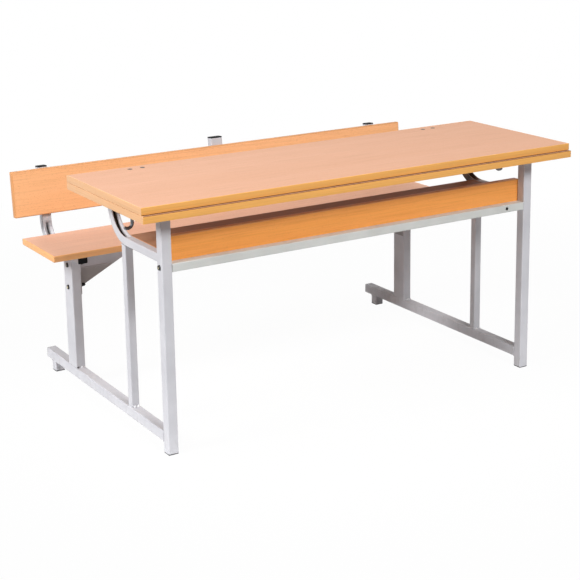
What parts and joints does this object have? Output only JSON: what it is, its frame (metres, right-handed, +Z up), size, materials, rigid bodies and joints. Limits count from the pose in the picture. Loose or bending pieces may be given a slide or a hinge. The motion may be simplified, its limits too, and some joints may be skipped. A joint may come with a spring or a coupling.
{
  "type": "student desk set",
  "caption": "Two-seat school desk and bench in one steel tube frame, with a laminated top whose upper leaf folds back over the bench, a book shelf and bag hooks.",
  "frame": {"origin": "on the floor, in the middle of the outline seen from above", "axes": "+Z up, +X along the desk's length, the desk front towards -Y and the bench towards +Y"},
  "size_m": [1.214, 0.7967, 0.6],
  "materials": {
    "grey_paint": "satin light grey powder coat",
    "beech_laminate": "satin beech laminate with a plastic edge band",
    "black_plastic": "moulded black plug",
    "zinc_steel": "zinc plated"
  },
  "bodies": {
    "desk": {"backrest": "beech_laminate", "bag_hook_left": "zinc_steel", "bag_hook_right": "zinc_steel", "bench_beam_left": "grey_paint", "bench_beam_right": "grey_paint", "bench_bolt_1_left": "zinc_steel", "bench_bolt_1_right": "zinc_steel", "bench_bolt_2_left": "zinc_steel", "bench_bolt_2_right": "zinc_steel", "bench_leg_left": "grey_paint", "bench_leg_right": "grey_paint", "book_shelf": "beech_laminate", "book_tube_left": "grey_paint", "book_tube_right": "grey_paint", "bottom_rail_left": "grey_paint", "bottom_rail_right": "grey_paint", "front_board": "beech_laminate", "front_foot_left": "black_plastic", "front_foot_right": "black_plastic", "front_leg_left": "grey_paint", "front_leg_right": "grey_paint", "front_rail": "grey_paint", "hinge_fixed_left": "zinc_steel", "hinge_fixed_right": "zinc_steel", "hinge_pin_left": "zinc_steel", "hinge_pin_right": "zinc_steel", "lower_leaf": "beech_laminate", "middle_leg_left": "grey_paint", "middle_leg_right": "grey_paint", "post_cap_left": "black_plastic", "post_cap_middle": "black_plastic", "post_cap_right": "black_plastic", "post_left": "grey_paint", "post_middle": "grey_paint", "post_plug_left": "black_plastic", "post_plug_middle": "black_plastic", "post_plug_right": "black_plastic", "post_right": "grey_paint", "rail_bolt_left": "zinc_steel", "rail_bolt_right": "zinc_steel", "rail_plug_left": "black_plastic", "rail_plug_right": "black_plastic", "rear_foot_cap_left": "black_plastic", "rear_foot_cap_right": "black_plastic", "rear_foot_left": "grey_paint", "rear_foot_right": "grey_paint", "seat": "beech_laminate", "wing_bracket_left": "grey_paint", "wing_bracket_right": "grey_paint"},
    "folding_leaf": {"hinge_moving_left": "zinc_steel", "hinge_moving_right": "zinc_steel", "hinge_rivet_1_left": "zinc_steel", "hinge_rivet_1_right": "zinc_steel", "hinge_rivet_2_left": "zinc_steel", "hinge_rivet_2_right": "zinc_steel", "upper_leaf": "beech_laminate"}
  },
  "joints": [
    {"name": "leaf_fold", "type": "hinge", "parent": "desk", "child": "folding_leaf", "pos_m": [0, 0.01278, 0.583], "axis": [-1, 0, 0], "range_deg": [0, 180]}
  ]
}
